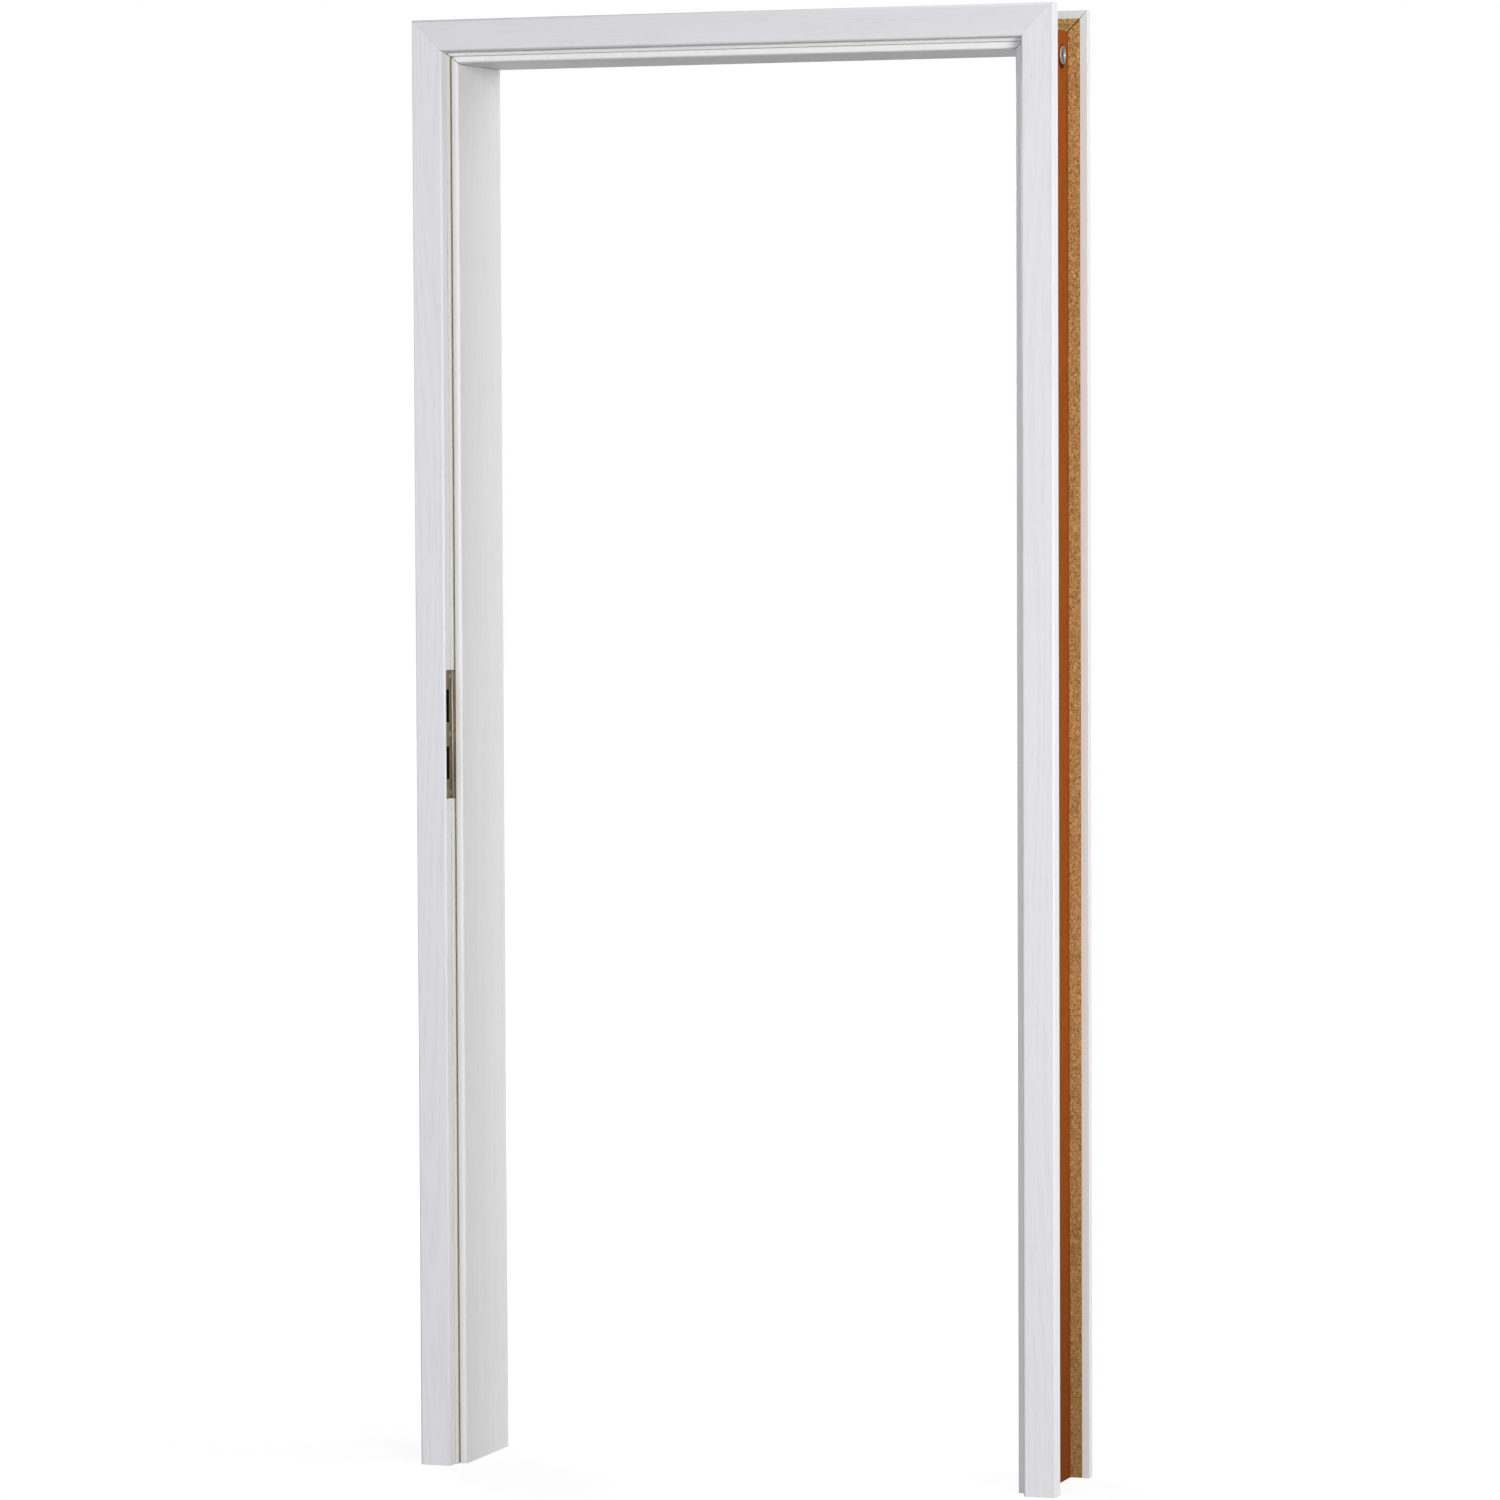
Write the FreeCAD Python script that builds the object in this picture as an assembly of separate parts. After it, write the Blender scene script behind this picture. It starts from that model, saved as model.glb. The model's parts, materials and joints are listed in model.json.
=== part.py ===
import FreeCAD, Part
import math
import os
from FreeCAD import Vector

# A wrap-around interior door frame for one rebated single leaf.
# The row frame has +X to the hinge side, -Y to the rebated front, +Z up,
# and its origin on the floor in the middle of the frame's footprint.
# Cross-sections are drawn in two local sizes: "inset" is the distance from the
# frame's outer edge towards the passage, "depth" is the distance behind the front face.
# Lengths are in millimetres.

# Passage, wall and boards
passage_width = 811.0
passage_height = 1968.0
stop_width = 15.0
rebate_depth = 25.5
wall_thickness = 145.0
lining_thickness = 32.0
casing_width = 60.0
trim_thickness = 16.0
arris_radius = 3.0
back_arris_radius = 1.0

# Foil-wrapped band on the back of the rear trim
band_width = 11.0
band_step = 0.8

# Glued tongue that holds the rebated casing on the lining's front edge
glue_tongue_thickness = 6.0
glue_tongue_length = 8.0
glue_gap = 0.15
glue_end_gap = 0.5

# Sliding tongue of the rear trim in the lining's rear edge
trim_tongue_thickness = 6.0
trim_tongue_length = 24.0
trim_tongue_cover = 7.0
slide_gap = 0.2
slide_end_gap = 1.0

# Door seal in the corner of the rebate
seal_groove_width = 5.0
seal_groove_depth = 7.0
seal_gap = 0.1
seal_proud = 8.0
seal_web_width = 1.4
seal_lip_thickness = 1.4
seal_lip_slope = 0.7
seal_nose_radius = 0.8
seal_tip_radius = 0.5
seal_channel_depth = 3.5
seal_mitre_gap = 1.0

# Strike plate in the latch-side rebate, bent round the rebate's corner
strike_height = 1031.0
strike_length = 180.0
strike_thickness = 2.0
strike_front_margin = 2.5
strike_leg_width = 4.6
strike_bend_radius = 2.5
strike_seal_gap = 0.3
strike_lip_width = 7.0
strike_lip_drop = 1.0
strike_slot_length = 46.0
strike_slot_width = 11.5
strike_slot_pitch = 80.0
strike_slot_edge = 2.0
strike_slot_corner = 1.5
strike_screw_depth = 16.5
strike_screw_end = 8.5
strike_pocket_depth = 26.0
strike_pocket_spare = 0.5
let_in_gap = 0.15

# Hinge receivers in the hinge-side rebate
hinge_drop = 241.0
hinge_spacing = 1435.0
receiver_length = 86.0
receiver_margin = 2.5
receiver_plate_thickness = 2.5
receiver_block_length = 56.0
receiver_block_thickness = 15.0
receiver_block_depth = 24.0
hinge_pin_radius = 4.0
hinge_pin_pitch = 36.0
hinge_pin_bottom = 3.0
receiver_screw_end = 7.0
clamp_screw_radius = 3.0
clamp_screw_length = 16.0
clamp_screw_sink = 0.6
clamp_key_size = 3.0
clamp_key_depth = 3.5

# Countersunk wood screws
screw_radius = 1.75
screw_length = 28.0
screw_head_radius = 3.5
screw_head_height = 2.2
screw_tip_length = 4.0
screw_sink = 0.2
screw_gap = 0.05
recess_width = 0.9
recess_span = 4.0
recess_depth = 1.6

# Corner fittings: zinc cams in the boards' backs, joined through the mitre by hinged bolts
cam_radius = 13.0
cam_seat_depth = 14.0
cam_proud = 1.2
cam_bore_gap = 1.5
cam_setback = 34.0
cam_edge_distance = 27.0
cam_rim_width = 2.6
cam_dish_depth = 1.0
cam_key_size = 6.0
cam_key_depth = 4.0
bolt_axis_depth = 8.0
bolt_radius = 3.5
bolt_head_radius = 5.0
bolt_head_length = 4.0
bolt_gap = 0.4
knee_radius = 4.0
knee_tongue_thickness = 3.0
knee_cheek_thickness = 2.0
knee_pin_radius = 1.5
knee_pin_gap = 0.05
knee_side_gap = 0.1
knee_flat_length = 6.0

# Flat wooden keys in the mitres of the casings
key_thickness = 4.0
front_key_length = 40.0
rear_key_length = 47.0
key_width = 15.0
key_gap = 0.2

# Cutting tools run this far past the faces they open
overrun = 20.0

# Edges this close to parallel, in radians, count as parallel
parallel_angle = 0.01

# Sizes that follow from the ones above
outer_width = passage_width + 2 * casing_width
outer_height = passage_height + casing_width
casing_face = casing_width - stop_width
lining_inset = casing_width - lining_thickness
lining_top = outer_height - lining_inset
lining_rear = rebate_depth + wall_thickness + band_step
total_depth = lining_rear + trim_thickness
rebate_top = outer_height - casing_face
glue_tongue_centre = (lining_inset + casing_face) / 2
trim_tongue_centre = casing_width - trim_tongue_cover - trim_tongue_thickness / 2
cam_stations = [rebate_depth + cam_edge_distance, lining_rear - cam_edge_distance]
hinge_heights = {"upper": rebate_top - hinge_drop, "lower": rebate_top - hinge_drop - hinge_spacing}

ALONG_X = Vector(1, 0, 0)
ALONG_Y = Vector(0, 1, 0)
ALONG_Z = Vector(0, 0, 1)
OUT_OF_JAMB = Vector(-1, 0, 0)


# Placing and outlines

def latch_point(inset, depth, height):
    """Point on the latch-side jamb, from its distance inside the outer edge and behind the front."""
    return Vector(inset - outer_width / 2, depth - total_depth / 2, height)


def header_point(inset, depth):
    """Point on the header's cross-section at the frame's latch-side end."""
    return Vector(-outer_width / 2, depth - total_depth / 2, outer_height - inset)


def mirrored_to_hinge_side(shape):
    return shape.mirror(Vector(0, 0, 0), ALONG_X)


def mirrored_over_mitre(shape):
    """Swap jamb and header at the latch-side corner, over the plane of the mitre."""
    return shape.mirror(latch_point(0, 0, outer_height), Vector(1, 0, 1))


def rounded_corner(before, corner, after, radius):
    """Start, middle and end of the arc that rounds one corner of an outline."""
    back = (before - corner).normalize()
    ahead = (after - corner).normalize()
    half_angle = back.getAngle(ahead) / 2
    run = radius / math.tan(half_angle)
    bisector = (back + ahead).normalize()
    middle = corner + bisector * (radius / math.sin(half_angle) - radius)
    return corner + back * run, middle, corner + ahead * run


def outline_face(corners, place):
    """Face inside a closed outline of (inset, depth, corner radius) corners."""
    points = [place(inset, depth) for inset, depth, radius in corners]
    count = len(points)
    ends = []
    arcs = []
    for i in range(count):
        radius = corners[i][2]
        if radius > 0:
            after = points[(i + 1) % count]
            start, middle, end = rounded_corner(points[i - 1], points[i], after, radius)
            arcs.append(Part.Arc(start, middle, end).toShape())
            ends.append((start, end))
        else:
            arcs.append(None)
            ends.append((points[i], points[i]))
    edges = []
    for i in range(count):
        if arcs[i]:
            edges.append(arcs[i])
        edges.append(Part.makeLine(ends[i][1], ends[(i + 1) % count][0]))
    return Part.Face(Part.Wire(edges))


def box_between(low, high):
    """Box with its edges along the row axes, between two opposite corners."""
    size = high - low
    return Part.makeBox(size.x, size.y, size.z, low)


# Legs of the frame

def mitre_region(name, gap):
    """Everything on one leg's side of its mitres, drawn back by a gap along the leg."""
    reach = casing_width + overrun
    half = outer_width / 2
    if name == "header":
        corners = [
            (-half + gap, outer_height),
            (half - gap, outer_height),
            (half - gap - reach, outer_height - reach),
            (-half + gap + reach, outer_height - reach),
        ]
    else:
        corners = [
            (-half, 0),
            (-half, outer_height - gap),
            (-half + reach, outer_height - gap - reach),
            (-half + reach, 0),
        ]
    front = -total_depth / 2 - overrun
    points = [Vector(x, front, z) for x, z in corners]
    face = Part.Face(Part.makePolygon(points + points[:1]))
    return face.extrude(ALONG_Y * (total_depth + 2 * overrun))


def leg(name, corners, gap=0.0):
    """Header, or latch-side jamb, of one cross-section, with its mitres cut."""
    if name == "header":
        bar = outline_face(corners, header_point).extrude(ALONG_X * outer_width)
    else:
        bar = outline_face(corners, lambda inset, depth: latch_point(inset, depth, 0))
        bar = bar.extrude(ALONG_Z * outer_height)
    return bar.common(mitre_region(name, gap)).Solids[0]


def front_casing_section():
    """Rebated front casing, with the glued tongue on its back."""
    near = glue_tongue_centre - glue_tongue_thickness / 2
    far = glue_tongue_centre + glue_tongue_thickness / 2
    tip = rebate_depth + glue_tongue_length
    return [
        (0, 0, arris_radius),
        (casing_face, 0, arris_radius),
        (casing_face, rebate_depth, 0),
        (far, rebate_depth, 0),
        (far, tip, 0),
        (near, tip, 0),
        (near, rebate_depth, 0),
        (0, rebate_depth, back_arris_radius),
    ]


def lining_section():
    """Lining board with the glue groove, the seal groove and the trim's groove."""
    glue_near = glue_tongue_centre - glue_tongue_thickness / 2 - glue_gap
    glue_far = glue_tongue_centre + glue_tongue_thickness / 2 + glue_gap
    glue_floor = rebate_depth + glue_tongue_length + glue_end_gap
    seal_far = casing_face + seal_groove_width
    seal_floor = rebate_depth + seal_groove_depth
    trim_near = trim_tongue_centre - trim_tongue_thickness / 2 - slide_gap
    trim_far = trim_tongue_centre + trim_tongue_thickness / 2 + slide_gap
    trim_floor = lining_rear - trim_tongue_length - slide_end_gap
    return [
        (lining_inset, rebate_depth, 0),
        (glue_near, rebate_depth, 0),
        (glue_near, glue_floor, 0),
        (glue_far, glue_floor, 0),
        (glue_far, rebate_depth, 0),
        (casing_face, rebate_depth, 0),
        (casing_face, seal_floor, 0),
        (seal_far, seal_floor, 0),
        (seal_far, rebate_depth, 0),
        (casing_width, rebate_depth, arris_radius),
        (casing_width, lining_rear, 0),
        (trim_far, lining_rear, 0),
        (trim_far, trim_floor, 0),
        (trim_near, trim_floor, 0),
        (trim_near, lining_rear, 0),
        (lining_inset, lining_rear, 0),
    ]


def rear_trim_section():
    """Rear trim casing: flat board, foil-wrapped outer band and the sliding tongue."""
    near = trim_tongue_centre - trim_tongue_thickness / 2
    far = trim_tongue_centre + trim_tongue_thickness / 2
    tip = lining_rear - trim_tongue_length
    return [
        (0, lining_rear - band_step, back_arris_radius),
        (band_width, lining_rear - band_step, 0),
        (band_width, lining_rear, 0),
        (near, lining_rear, 0),
        (near, tip, 0),
        (far, tip, 0),
        (far, lining_rear, 0),
        (casing_width, lining_rear, 0),
        (casing_width, total_depth, arris_radius),
        (0, total_depth, arris_radius),
    ]


def seal_section():
    """Rubber seal: a foot in the groove, a web, and a lip that the closed leaf presses back."""
    near = casing_face + seal_gap
    far = casing_face + seal_groove_width - seal_gap
    web = near + seal_web_width
    nose = rebate_depth - seal_proud
    tip = nose + seal_lip_slope
    root = tip + seal_lip_thickness
    channel = rebate_depth + seal_channel_depth
    foot = rebate_depth + seal_groove_depth
    return [
        (near, nose, seal_nose_radius),
        (far, tip, seal_tip_radius),
        (far, root, seal_tip_radius),
        (web, root, 0),
        (web, channel, 0),
        (far, channel, 0),
        (far, foot, 0),
        (near, foot, 0),
    ]


# Screws and keys

def wood_screw(start, inwards):
    """Countersunk cross-head screw whose head faces back along its axis from start."""
    shank_length = screw_length - screw_head_height - screw_tip_length
    shank_start = start + inwards * screw_head_height
    tip_start = shank_start + inwards * shank_length
    head = Part.makeCone(screw_head_radius, screw_radius, screw_head_height, start, inwards)
    shank = Part.makeCylinder(screw_radius, shank_length, shank_start, inwards)
    tip = Part.makeCone(screw_radius, 0, screw_tip_length, tip_start, inwards)
    screw = head.fuse([shank, tip]).removeSplitter()
    for span_y, span_z in [(recess_span, recess_width), (recess_width, recess_span)]:
        half = Vector(recess_depth, span_y / 2, span_z / 2)
        screw = screw.cut(box_between(start - half, start + half))
    return screw.Solids[0]


def wood_screw_hole(start, inwards):
    """Countersink and pilot hole for one wood screw, open at its start."""
    head_hole = screw_head_radius + screw_gap
    shank_hole = screw_radius + screw_gap
    mouth = Part.makeCylinder(head_hole, overrun, start, inwards * -1)
    sink = Part.makeCone(head_hole, shank_hole, screw_head_height, start, inwards)
    pilot = Part.makeCylinder(shank_hole, screw_length, start, inwards)
    return mouth.fuse([sink, pilot])


def hexagon_hole(start, inwards, across_flats, depth):
    """Hexagonal key socket, sunk along its axis from start."""
    radius = across_flats / math.sqrt(3)
    turn = FreeCAD.Rotation(ALONG_Z, inwards)
    points = []
    for i in range(6):
        angle = math.radians(60 * i)
        spoke = Vector(radius * math.cos(angle), radius * math.sin(angle), 0)
        points.append(start + turn.multVec(spoke))
    return Part.Face(Part.makePolygon(points + points[:1])).extrude(inwards * depth)


def mitre_key(inset, depth, length, gap):
    """Lens-shaped key half in each side of the latch-side mitre, or its slot with a gap."""
    thickness = key_thickness + 2 * gap
    centre = latch_point(inset, depth - thickness / 2, outer_height - inset)
    along = Vector(1, 0, -1).normalize() * (length / 2 + gap)
    across = Vector(1, 0, 1).normalize() * (key_width / 2 + gap)
    upper = Part.Arc(centre - along, centre + across, centre + along).toShape()
    lower = Part.Arc(centre + along, centre - across, centre - along).toShape()
    return Part.Face(Part.Wire([upper, lower])).extrude(ALONG_Y * thickness)


# Corner fittings at the latch-side corner

def cam_bore(depth):
    """Blind bore in the jamb's back for one cam."""
    start = latch_point(lining_inset, depth, lining_top - cam_setback) - ALONG_X * overrun
    return Part.makeCylinder(cam_radius + cam_bore_gap, overrun + cam_seat_depth, start, ALONG_X)


def cam(depth):
    """Zinc cam in the jamb: dished head, key socket, and a slot that takes the bolt's head."""
    axis_height = lining_top - cam_setback
    seat = latch_point(lining_inset + cam_seat_depth, depth, axis_height)
    height = cam_seat_depth + cam_proud
    top = seat - ALONG_X * height
    body = Part.makeCylinder(cam_radius, height, top, ALONG_X)
    dish = Part.makeCylinder(cam_radius - cam_rim_width, cam_dish_depth, top, ALONG_X)
    key = hexagon_hole(top, ALONG_X, cam_key_size, cam_dish_depth + cam_key_depth)
    slot_reach = cam_seat_depth - bolt_axis_depth
    rod_half = bolt_radius + bolt_gap
    head_half = bolt_head_radius + bolt_gap
    head_end = bolt_head_length / 2 + bolt_gap
    rod_slot = box_between(
        seat + Vector(-slot_reach - rod_half, -rod_half, 0),
        seat + Vector(0, rod_half, cam_radius),
    )
    head_slot = box_between(
        seat + Vector(-slot_reach - head_half, -head_half, -head_end),
        seat + Vector(0, head_half, head_end),
    )
    return body.cut([dish, key, rod_slot, head_slot]).Solids[0]


def knee_point(depth):
    """Centre of the bolt's hinge, on the mitre at the bolt axis."""
    return latch_point(lining_inset + bolt_axis_depth, depth, lining_top - bolt_axis_depth)


def bolt_bore(depth):
    """Bore in the jamb from the cam to the bolt's hinge, with room for the hinge."""
    knee = knee_point(depth)
    length = cam_setback - bolt_axis_depth
    bore = Part.makeCylinder(bolt_radius + bolt_gap, length, knee - ALONG_Z * length, ALONG_Z)
    width = knee_tongue_thickness + 2 * (knee_side_gap + knee_cheek_thickness + bolt_gap)
    room_radius = knee_radius + bolt_gap
    room = Part.makeCylinder(room_radius, width, knee - ALONG_Y * (width / 2), ALONG_Y)
    return bore.fuse(room)


def bolt_arm(depth):
    """Round arm of the bolt in the jamb, with the head in the cam and no eye yet."""
    knee = knee_point(depth)
    length = cam_setback - bolt_axis_depth - knee_flat_length
    centre = knee - ALONG_Z * (cam_setback - bolt_axis_depth)
    rod = Part.makeCylinder(bolt_radius, length, centre, ALONG_Z)
    head_start = centre - ALONG_Z * (bolt_head_length / 2)
    head = Part.makeCylinder(bolt_head_radius, bolt_head_length, head_start, ALONG_Z)
    return rod.fuse(head)


def knee_flat(depth, near, far):
    """Flat eye on the bolt's arm, between two distances from the bolt's middle plane."""
    knee = knee_point(depth)
    eye = Part.makeCylinder(knee_radius, far - near, knee + ALONG_Y * near, ALONG_Y)
    strip = box_between(
        knee + Vector(-bolt_radius, near, -knee_flat_length),
        knee + Vector(bolt_radius, far, 0),
    )
    rod_end = knee - ALONG_Z * knee_flat_length
    rod_core = Part.makeCylinder(bolt_radius, knee_flat_length, rod_end, ALONG_Z)
    return eye.fuse(strip.common(rod_core))


def knee_pin_hole(depth):
    start = knee_point(depth) - ALONG_Y * overrun
    return Part.makeCylinder(knee_pin_radius + knee_pin_gap, 2 * overrun, start, ALONG_Y)


def hinged_bolt(depth):
    """Forked arm in the jamb, tongued arm in the header, and the pin that joins them."""
    half_tongue = knee_tongue_thickness / 2
    cheek = half_tongue + knee_side_gap
    cheek_out = cheek + knee_cheek_thickness
    hole = knee_pin_hole(depth)
    cheeks = [knee_flat(depth, cheek, cheek_out), knee_flat(depth, -cheek_out, -cheek)]
    fork_start = knee_point(depth) - ALONG_Y * cheek
    fork_room = Part.makeCylinder(knee_radius + knee_side_gap, 2 * cheek, fork_start, ALONG_Y)
    forked = bolt_arm(depth).fuse(cheeks).cut([hole, fork_room]).Solids[0]
    tongue = knee_flat(depth, -half_tongue, half_tongue)
    tongued = mirrored_over_mitre(bolt_arm(depth).fuse(tongue).cut(hole).Solids[0])
    pin_start = knee_point(depth) - ALONG_Y * cheek_out
    pin = Part.makeCylinder(knee_pin_radius, 2 * cheek_out, pin_start, ALONG_Y)
    return [forked, tongued, pin]


# Strike plate, on the latch-side rebate wall

def strike_point(inset, depth, height):
    return latch_point(inset, depth, strike_height + height)


def strike_section(as_pocket):
    """Cross-section of the strike plate, or of the pocket it lies in."""
    front = strike_front_margin - (let_in_gap if as_pocket else 0)
    bend = strike_front_margin + strike_lip_width
    back = casing_face - strike_thickness
    front_back = back - strike_lip_drop * (bend - front) / strike_lip_width
    if as_pocket:
        outside = casing_face + overrun
        rear = rebate_depth + overrun
        face = [(outside, rear, 0), (outside, front, 0)]
        return face + [(front_back, front, 0), (back, bend, 0), (back, rear, 0)]
    rear = rebate_depth - let_in_gap
    leg_face = rear - strike_thickness
    leg_end = casing_face + strike_leg_width
    return [
        (leg_end, leg_face, 0),
        (casing_face, leg_face, strike_bend_radius),
        (casing_face, bend, 0),
        (casing_face - strike_lip_drop, front, 0),
        (front_back, front, 0),
        (back, bend, 0),
        (back, rear, strike_bend_radius + strike_thickness),
        (leg_end, rear, 0),
    ]


def strike_bar(length, as_pocket):
    """Strike plate, or its pocket, drawn up along the jamb before its holes are cut."""
    place = lambda inset, depth: strike_point(inset, depth, -length / 2)
    return outline_face(strike_section(as_pocket), place).extrude(ALONG_Z * length)


def strike_slot(height, spare, reach):
    """Space of the latch or bolt slot, grown by a spare and sunk by a reach into the jamb."""
    front = strike_front_margin + strike_slot_edge
    half = strike_slot_length / 2 + spare
    low = strike_point(casing_face - reach, front - spare, height - half)
    high = strike_point(casing_face + overrun, front + strike_slot_width + spare, height + half)
    slot = box_between(low, high)
    corners = [edge for edge in slot.Edges if edge.tangentAt(0).isParallel(ALONG_X, parallel_angle)]
    return slot.makeFillet(strike_slot_corner + spare, corners)


def strike_screw_starts():
    inset = casing_face - screw_sink
    end = strike_length / 2 - strike_screw_end
    return [strike_point(inset, strike_screw_depth, height) for height in (-end, 0, end)]


def strike_seal_room():
    """Space in front of the stop that the plate's short leg takes from the seal."""
    half = strike_length / 2 + strike_seal_gap
    low = strike_point(casing_face, -overrun, -half)
    high = strike_point(casing_face + seal_groove_width, rebate_depth + strike_seal_gap, half)
    return box_between(low, high)


# Hinge receivers, drawn on the latch side and mirrored to the hinge side

def receiver_body(hinge_height, gap):
    """Plate and block of one receiver, or their pocket when a gap is given."""
    half_plate = receiver_length / 2 + gap
    half_block = receiver_block_length / 2 + gap
    half_thick = receiver_block_thickness / 2 + gap
    middle = rebate_depth / 2
    plate_back = casing_face - receiver_plate_thickness
    block_back = plate_back - receiver_block_depth - gap
    outside = casing_face + (overrun if gap else 0)
    plate = box_between(
        latch_point(plate_back, receiver_margin - gap, hinge_height - half_plate),
        latch_point(outside, rebate_depth - receiver_margin + gap, hinge_height + half_plate),
    )
    block = box_between(
        latch_point(block_back, middle - half_thick, hinge_height - half_block),
        latch_point(plate_back, middle + half_thick, hinge_height + half_block),
    )
    return plate.fuse(block).removeSplitter().Solids[0]


def receiver_screw_starts(hinge_height):
    end = receiver_length / 2 - receiver_screw_end
    inset = casing_face - screw_sink
    depth = rebate_depth / 2
    return [latch_point(inset, depth, hinge_height + offset) for offset in (-end, end)]


def hinge_receiver(hinge_height):
    """Receiver with two sockets for the hinge's pins and a threaded hole for the clamp screw."""
    face = latch_point(casing_face, rebate_depth / 2, hinge_height)
    socket_length = receiver_plate_thickness + receiver_block_depth - hinge_pin_bottom
    clamp_hole = clamp_screw_radius + screw_gap
    clamp_depth = clamp_screw_length + clamp_screw_sink
    holes = [Part.makeCylinder(clamp_hole, clamp_depth, face, OUT_OF_JAMB)]
    for side in (-1, 1):
        start = face + ALONG_Z * (side * hinge_pin_pitch / 2)
        holes.append(Part.makeCylinder(hinge_pin_radius, socket_length, start, OUT_OF_JAMB))
    for start in receiver_screw_starts(hinge_height):
        holes.append(wood_screw_hole(start, OUT_OF_JAMB))
    return receiver_body(hinge_height, 0).cut(holes).Solids[0]


def clamp_screw(hinge_height):
    """Socket-head grub screw that clamps the hinge's pins in the receiver."""
    start = latch_point(casing_face - clamp_screw_sink, rebate_depth / 2, hinge_height)
    screw = Part.makeCylinder(clamp_screw_radius, clamp_screw_length, start, OUT_OF_JAMB)
    key = hexagon_hole(start, OUT_OF_JAMB, clamp_key_size, clamp_key_depth)
    return screw.cut(key).Solids[0]


# Building the pieces

front_key_inset = casing_face / 2
front_key_depth = rebate_depth / 2
rear_key_inset = casing_width / 2
rear_key_depth = lining_rear + trim_thickness / 2
nodes = {}

# Lining boards, with the bores for the corner fittings
corner_cuts = []
for station in cam_stations:
    for cut in (cam_bore(station), bolt_bore(station)):
        corner_cuts.append(cut)
        corner_cuts.append(mirrored_over_mitre(cut))
hinge_corner_cuts = [mirrored_to_hinge_side(cut) for cut in corner_cuts]
lining_jamb = leg("jamb", lining_section()).cut(corner_cuts).Solids[0]
nodes["lining_latch_side"] = [lining_jamb]
nodes["lining_hinge_side"] = [mirrored_to_hinge_side(lining_jamb)]
lining_header = leg("header", lining_section()).cut(corner_cuts + hinge_corner_cuts)
nodes["lining_header"] = [lining_header.Solids[0]]

# Rebated front casing, with its mitre keys
key_slot = mitre_key(front_key_inset, front_key_depth, front_key_length, key_gap)
casing_jamb = leg("jamb", front_casing_section()).cut(key_slot).Solids[0]
key_slots = [key_slot, mirrored_to_hinge_side(key_slot)]
casing_header = leg("header", front_casing_section()).cut(key_slots)
nodes["front_casing_header"] = [casing_header.Solids[0]]
front_key = mitre_key(front_key_inset, front_key_depth, front_key_length, 0)
nodes["front_mitre_keys"] = [front_key, mirrored_to_hinge_side(front_key)]

# Strike plate let into the latch-side casing
slot_heights = [-strike_slot_pitch / 2, strike_slot_pitch / 2]
strike_holes = [wood_screw_hole(start, OUT_OF_JAMB) for start in strike_screw_starts()]
plate_slots = [strike_slot(height, 0, strike_pocket_depth) for height in slot_heights]
nodes["strike_plate"] = [strike_bar(strike_length, False).cut(plate_slots + strike_holes).Solids[0]]
nodes["strike_plate_screws"] = [wood_screw(start, OUT_OF_JAMB) for start in strike_screw_starts()]
pockets = [strike_slot(height, strike_pocket_spare, strike_pocket_depth) for height in slot_heights]
pockets.append(strike_bar(strike_length + 2 * let_in_gap, True))
nodes["front_casing_latch_side"] = [casing_jamb.cut(pockets + strike_holes).Solids[0]]

# Hinge receivers let into the hinge-side casing
receiver_cuts = []
receiver_screws = []
clamp_screws = []
for place_name, hinge_height in hinge_heights.items():
    starts = receiver_screw_starts(hinge_height)
    receiver_cuts.append(receiver_body(hinge_height, let_in_gap))
    for start in starts:
        receiver_cuts.append(wood_screw_hole(start, OUT_OF_JAMB))
        receiver_screws.append(mirrored_to_hinge_side(wood_screw(start, OUT_OF_JAMB)))
    clamp_screws.append(mirrored_to_hinge_side(clamp_screw(hinge_height)))
    nodes["hinge_receiver_" + place_name] = [mirrored_to_hinge_side(hinge_receiver(hinge_height))]
nodes["hinge_receiver_screws"] = receiver_screws
nodes["hinge_clamp_screws"] = clamp_screws
nodes["front_casing_hinge_side"] = [mirrored_to_hinge_side(casing_jamb.cut(receiver_cuts).Solids[0])]

# Rear trim casing, with its mitre keys
key_slot = mitre_key(rear_key_inset, rear_key_depth, rear_key_length, key_gap)
trim_jamb = leg("jamb", rear_trim_section()).cut(key_slot).Solids[0]
key_slots = [key_slot, mirrored_to_hinge_side(key_slot)]
trim_header = leg("header", rear_trim_section()).cut(key_slots)
nodes["rear_trim_latch_side"] = [trim_jamb]
nodes["rear_trim_hinge_side"] = [mirrored_to_hinge_side(trim_jamb)]
nodes["rear_trim_header"] = [trim_header.Solids[0]]
rear_key = mitre_key(rear_key_inset, rear_key_depth, rear_key_length, 0)
nodes["rear_mitre_keys"] = [rear_key, mirrored_to_hinge_side(rear_key)]

# Door seals
seal_jamb = leg("jamb", seal_section(), seal_mitre_gap)
nodes["seal_latch_side"] = [seal_jamb.cut(strike_seal_room()).Solids[0]]
nodes["seal_hinge_side"] = [mirrored_to_hinge_side(seal_jamb)]
nodes["seal_header"] = [leg("header", seal_section(), seal_mitre_gap)]

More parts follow.
